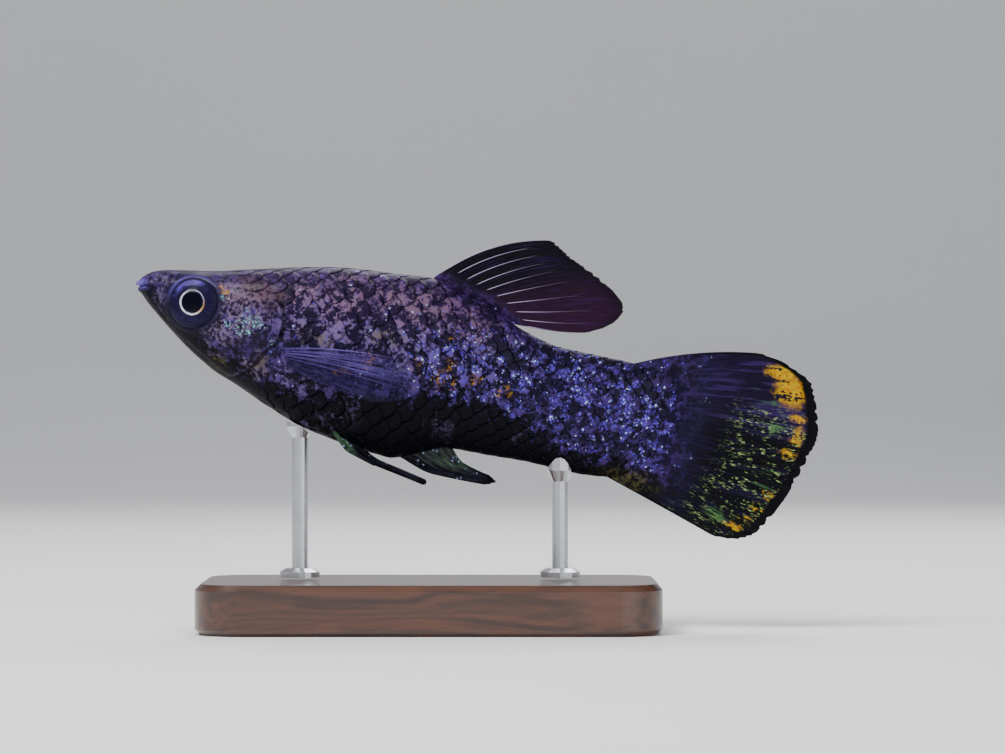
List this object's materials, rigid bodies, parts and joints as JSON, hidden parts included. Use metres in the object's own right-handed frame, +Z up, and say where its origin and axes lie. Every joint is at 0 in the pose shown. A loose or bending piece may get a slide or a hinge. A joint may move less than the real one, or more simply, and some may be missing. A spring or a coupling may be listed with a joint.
{
  "type": "molly fish, male, as a life-size still model on a display stand",
  "caption": "Life-size still model of a dark male molly, nose slightly up with fins spread, on two short rods over a flat base.",
  "frame": {"origin": "centre of the underside of the stand's base, on the floor", "axes": "the fish faces -X and is held nose up, its left side faces -Y, +Z is up"},
  "size_m": [0.0682, 0.024, 0.0389],
  "materials": {
    "skin": "wet, scaled skin with violet and blue glints",
    "fin": "thin dark membrane with fine rays",
    "pale_fin": "thin violet membrane with fine rays",
    "eye": "glossy, dark iris with a bright ring round the pupil",
    "base_wood": "dark satin varnish",
    "rod_steel": "brushed"
  },
  "bodies": {
    "root": {"head": "skin", "lower_jaw": "skin", "gill_cover_left": "skin", "gill_cover_right": "skin", "trunk": "skin", "tail_stalk": "skin", "eye_left": "eye", "eye_right": "eye", "dorsal_fin": "fin", "tail_fin": "fin", "anal_fin": "fin", "pectoral_fin_left": "pale_fin", "pectoral_fin_right": "pale_fin", "pelvic_fin_left": "fin", "pelvic_fin_right": "fin", "stand_base": "base_wood", "stand_rod_front": "rod_steel", "stand_rod_rear": "rod_steel"}
  },
  "joints": []
}
